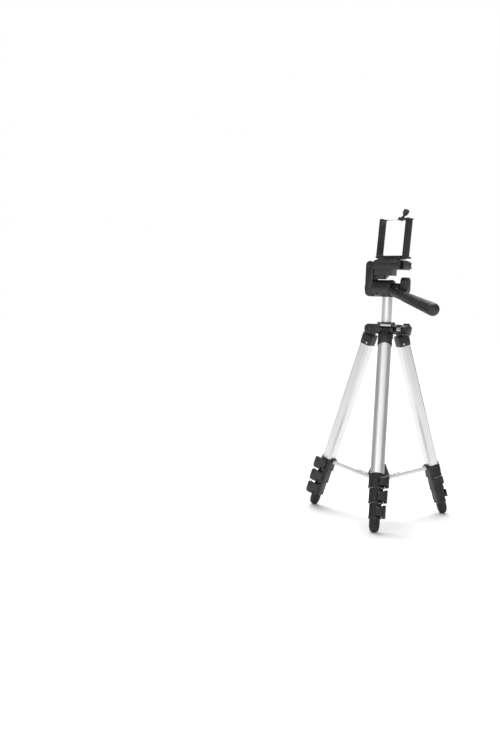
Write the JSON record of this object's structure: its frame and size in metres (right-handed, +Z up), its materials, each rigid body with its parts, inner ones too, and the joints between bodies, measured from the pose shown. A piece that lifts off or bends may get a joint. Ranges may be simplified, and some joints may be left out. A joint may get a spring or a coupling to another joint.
{
  "type": "phone tripod",
  "caption": "Folding tabletop tripod with telescopic legs, braced hub, lifting column, side-arm pan and tilt head and a spring phone clamp.",
  "frame": {"origin": "on the floor straight below the centre column, with the legs spread and their sections closed", "axes": "+Z up along the column; +X along the head's tilt axle towards the handle end; the front leg points 26 degrees from -Y towards +X"},
  "size_m": [0.2189, 0.209, 0.4359],
  "materials": {
    "black_plastic": "satin black moulded plastic with a fine grain",
    "clamp_plastic": "satin black moulded plastic",
    "post_plastic": "satin dark grey plastic",
    "silver_tube": "satin anodised aluminium",
    "brace_aluminium": "satin folded aluminium",
    "steel": "plated steel",
    "grip_rubber": "black grip with moulded ribs",
    "badge_metal": "blank satin plate",
    "foot_rubber": "matt black rubber"
  },
  "bodies": {
    "spider": {"spider": "black_plastic", "badge": "badge_metal", "hinge_pins": "steel"},
    "front_leg": {"front_leg_top": "black_plastic", "front_tube_1": "silver_tube", "front_collar_1": "black_plastic"},
    "front_strut_arm": {"front_strut": "brace_aluminium"},
    "front_lock_1": {"front_lever_1": "black_plastic"},
    "front_section_2": {"front_tube_2": "silver_tube", "front_collar_2": "black_plastic"},
    "front_lock_2": {"front_lever_2": "black_plastic"},
    "front_section_3": {"front_tube_3": "silver_tube", "front_collar_3": "black_plastic"},
    "front_lock_3": {"front_lever_3": "black_plastic"},
    "front_section_4": {"front_tube_4": "silver_tube", "front_foot": "foot_rubber"},
    "left_leg": {"left_leg_top": "black_plastic", "left_tube_1": "silver_tube", "left_collar_1": "black_plastic"},
    "left_strut_arm": {"left_strut": "brace_aluminium"},
    "left_lock_1": {"left_lever_1": "black_plastic"},
    "left_section_2": {"left_tube_2": "silver_tube", "left_collar_2": "black_plastic"},
    "left_lock_2": {"left_lever_2": "black_plastic"},
    "left_section_3": {"left_tube_3": "silver_tube", "left_collar_3": "black_plastic"},
    "left_lock_3": {"left_lever_3": "black_plastic"},
    "left_section_4": {"left_tube_4": "silver_tube", "left_foot": "foot_rubber"},
    "right_leg": {"right_leg_top": "black_plastic", "right_tube_1": "silver_tube", "right_collar_1": "black_plastic"},
    "right_strut_arm": {"right_strut": "brace_aluminium"},
    "right_lock_1": {"right_lever_1": "black_plastic"},
    "right_section_2": {"right_tube_2": "silver_tube", "right_collar_2": "black_plastic"},
    "right_lock_2": {"right_lever_2": "black_plastic"},
    "right_section_3": {"right_tube_3": "silver_tube", "right_collar_3": "black_plastic"},
    "right_lock_3": {"right_lever_3": "black_plastic"},
    "right_section_4": {"right_tube_4": "silver_tube", "right_foot": "foot_rubber"},
    "brace_hub": {"brace_hub": "black_plastic"},
    "column_knob": {"column_lock_knob": "black_plastic"},
    "column": {"column_tube": "silver_tube", "pan_post": "post_plastic"},
    "pan_base": {"pan_base": "black_plastic"},
    "tilt_head": {"tilt_axle": "steel", "side_arm": "black_plastic", "handle_stem": "black_plastic"},
    "tilt_lock": {"tilt_lever": "black_plastic"},
    "grip": {"handle_grip": "grip_rubber"},
    "platform": {"platform": "black_plastic"},
    "flip_lock": {"flip_knob": "black_plastic"},
    "plate_lock": {"plate_lever": "black_plastic"},
    "plate": {"quick_release_plate": "black_plastic", "camera_screw": "steel"},
    "clamp": {"clamp_base": "clamp_plastic"},
    "jaw": {"sliding_jaw": "clamp_plastic"},
    "thumb": {"thumb_screw": "black_plastic"}
  },
  "joints": [
    {"name": "front_leg_fold", "type": "hinge", "parent": "spider", "child": "front_leg", "pos_m": [0.01013, -0.02076, 0.26718], "axis": [0.8988, 0.4384, 0], "range_deg": [0, 15.5]},
    {"name": "front_strut_hinge", "type": "hinge", "parent": "front_leg", "child": "front_strut_arm", "pos_m": [0.03267, -0.06698, 0.06724], "axis": [-0.8988, -0.4384, 0], "range_deg": [0, 91.01]},
    {"name": "front_lever_1_turn", "type": "hinge", "parent": "front_leg", "child": "front_lock_1", "pos_m": [0.04908, -0.07177, 0.0646], "axis": [-0.1369, 0.2807, 0.95], "range_deg": [0, 100]},
    {"name": "front_section_2_slide", "type": "slide", "parent": "front_leg", "child": "front_section_2", "axis": [0.1369, -0.2807, -0.95], "range_m": [0, 0.16]},
    {"name": "front_lever_2_turn", "type": "hinge", "parent": "front_section_2", "child": "front_lock_2", "pos_m": [0.05074, -0.07802, 0.04532], "axis": [-0.1369, 0.2807, 0.95], "range_deg": [0, 100]},
    {"name": "front_section_3_slide", "type": "slide", "parent": "front_section_2", "child": "front_section_3", "axis": [0.1369, -0.2807, -0.95], "range_m": [0, 0.16]},
    {"name": "front_lever_3_turn", "type": "hinge", "parent": "front_section_3", "child": "front_lock_3", "pos_m": [0.05239, -0.08426, 0.02603], "axis": [-0.1369, 0.2807, 0.95], "range_deg": [0, 100]},
    {"name": "front_section_4_slide", "type": "slide", "parent": "front_section_3", "child": "front_section_4", "axis": [0.1369, -0.2807, -0.95], "range_m": [0, 0.16]},
    {"name": "left_leg_fold", "type": "hinge", "parent": "spider", "child": "left_leg", "pos_m": [-0.02304, 0.00161, 0.26718], "axis": [-0.0698, -0.9976, 0], "range_deg": [0, 15.5]},
    {"name": "left_strut_hinge", "type": "hinge", "parent": "left_leg", "child": "left_strut_arm", "pos_m": [-0.07434, 0.0052, 0.06724], "axis": [0.0698, 0.9976, 0], "range_deg": [0, 91.01]},
    {"name": "left_lever_1_turn", "type": "hinge", "parent": "left_leg", "child": "left_lock_1", "pos_m": [-0.08669, -0.00662, 0.0646], "axis": [0.3116, -0.0218, 0.95], "range_deg": [0, 100]},
    {"name": "left_section_2_slide", "type": "slide", "parent": "left_leg", "child": "left_section_2", "axis": [-0.3116, 0.0218, -0.95], "range_m": [0, 0.16]},
    {"name": "left_lever_2_turn", "type": "hinge", "parent": "left_section_2", "child": "left_lock_2", "pos_m": [-0.09293, -0.00493, 0.04532], "axis": [0.3116, -0.0218, 0.95], "range_deg": [0, 100]},
    {"name": "left_section_3_slide", "type": "slide", "parent": "left_section_2", "child": "left_section_3", "axis": [-0.3116, 0.0218, -0.95], "range_m": [0, 0.16]},
    {"name": "left_lever_3_turn", "type": "hinge", "parent": "left_section_3", "child": "left_lock_3", "pos_m": [-0.09917, -0.00324, 0.02603], "axis": [0.3116, -0.0218, 0.95], "range_deg": [0, 100]},
    {"name": "left_section_4_slide", "type": "slide", "parent": "left_section_3", "child": "left_section_4", "axis": [-0.3116, 0.0218, -0.95], "range_m": [0, 0.16]},
    {"name": "right_leg_fold", "type": "hinge", "parent": "spider", "child": "right_leg", "pos_m": [0.01292, 0.01915, 0.26718], "axis": [-0.829, 0.5592, 0], "range_deg": [0, 15.5]},
    {"name": "right_strut_hinge", "type": "hinge", "parent": "right_leg", "child": "right_strut_arm", "pos_m": [0.04167, 0.06178, 0.06724], "axis": [0.829, -0.5592, 0], "range_deg": [0, 91.01]},
    {"name": "right_lever_1_turn", "type": "hinge", "parent": "right_leg", "child": "right_lock_1", "pos_m": [0.03762, 0.07839, 0.0646], "axis": [-0.1747, -0.2589, 0.95], "range_deg": [0, 100]},
    {"name": "right_section_2_slide", "type": "slide", "parent": "right_leg", "child": "right_section_2", "axis": [0.1747, 0.2589, -0.95], "range_m": [0, 0.16]},
    {"name": "right_lever_2_turn", "type": "hinge", "parent": "right_section_2", "child": "right_lock_2", "pos_m": [0.0422, 0.08295, 0.04532], "axis": [-0.1747, -0.2589, 0.95], "range_deg": [0, 100]},
    {"name": "right_section_3_slide", "type": "slide", "parent": "right_section_2", "child": "right_section_3", "axis": [0.1747, 0.2589, -0.95], "range_m": [0, 0.16]},
    {"name": "right_lever_3_turn", "type": "hinge", "parent": "right_section_3", "child": "right_lock_3", "pos_m": [0.04678, 0.0875, 0.02603], "axis": [-0.1747, -0.2589, 0.95], "range_deg": [0, 100]},
    {"name": "right_section_4_slide", "type": "slide", "parent": "right_section_3", "child": "right_section_4", "axis": [0.1747, 0.2589, -0.95], "range_m": [0, 0.16]},
    {"name": "hub_slide", "type": "slide", "parent": "spider", "child": "brace_hub", "axis": [0, 0, -1], "range_m": [0, 0.05511]},
    {"name": "column_knob_turn", "type": "hinge", "parent": "spider", "child": "column_knob", "pos_m": [0.02993, -0.00209, 0.26778], "axis": [0.9976, -0.0698, 0], "continuous": true},
    {"name": "column_slide", "type": "slide", "parent": "spider", "child": "column", "axis": [0, 0, 1], "range_m": [-0.032, 0.115]},
    {"name": "pan", "type": "hinge", "parent": "column", "child": "pan_base", "pos_m": [0, 0, 0.31698], "axis": [0, 0, 1], "continuous": true},
    {"name": "tilt", "type": "hinge", "parent": "pan_base", "child": "tilt_head", "pos_m": [0, 0, 0.32448], "axis": [1, 0, 0], "range_deg": [-35, 80]},
    {"name": "tilt_lock_turn", "type": "hinge", "parent": "tilt_head", "child": "tilt_lock", "pos_m": [0.0255, 0, 0.32448], "axis": [1, 0, 0], "range_deg": [-60, 15]},
    {"name": "grip_twist", "type": "hinge", "parent": "tilt_head", "child": "grip", "pos_m": [0.0469, -0.02487, 0.3104], "axis": [0.8724, -0.4217, -0.247], "continuous": true},
    {"name": "flip", "type": "hinge", "parent": "tilt_head", "child": "platform", "pos_m": [-0.0264, 0, 0.35668], "axis": [0, -1, 0], "range_deg": [0, 90]},
    {"name": "flip_lock_turn", "type": "hinge", "parent": "tilt_head", "child": "flip_lock", "pos_m": [-0.0264, 0.012, 0.35668], "axis": [0, 1, 0], "continuous": true},
    {"name": "plate_lever_turn", "type": "hinge", "parent": "platform", "child": "plate_lock", "pos_m": [0.0263, 0.0134, 0.35518], "axis": [0, 0, 1], "range_deg": [0, 70]},
    {"name": "plate_lift", "type": "slide", "parent": "platform", "child": "plate", "axis": [0, 0, 1], "range_m": [0, 0.02]},
    {"name": "clamp_turn", "type": "hinge", "parent": "plate", "child": "clamp", "pos_m": [0.0044, 0, 0.36468], "axis": [0, 0, 1], "continuous": true},
    {"name": "jaw_slide", "type": "slide", "parent": "clamp", "child": "jaw", "axis": [0.9659, -0.2588, 0], "range_m": [0, 0.03], "stiffness_N_per_m": 60, "springref_m": -0.01},
    {"name": "thumb_screw_turn", "type": "hinge", "parent": "jaw", "child": "thumb", "pos_m": [0.01601, 0.00082, 0.42074], "axis": [0.4998, -0.0667, 0.8636], "continuous": true}
  ],
  "couplings": [
    {"joint": "front_strut_hinge", "follows": "front_leg_fold", "ratio": 5.868},
    {"joint": "left_leg_fold", "follows": "front_leg_fold", "ratio": 1},
    {"joint": "left_strut_hinge", "follows": "front_leg_fold", "ratio": 5.868},
    {"joint": "right_leg_fold", "follows": "front_leg_fold", "ratio": 1},
    {"joint": "right_strut_hinge", "follows": "front_leg_fold", "ratio": 5.868},
    {"joint": "hub_slide", "follows": "front_leg_fold", "m_per_rad": 0.20334}
  ]
}
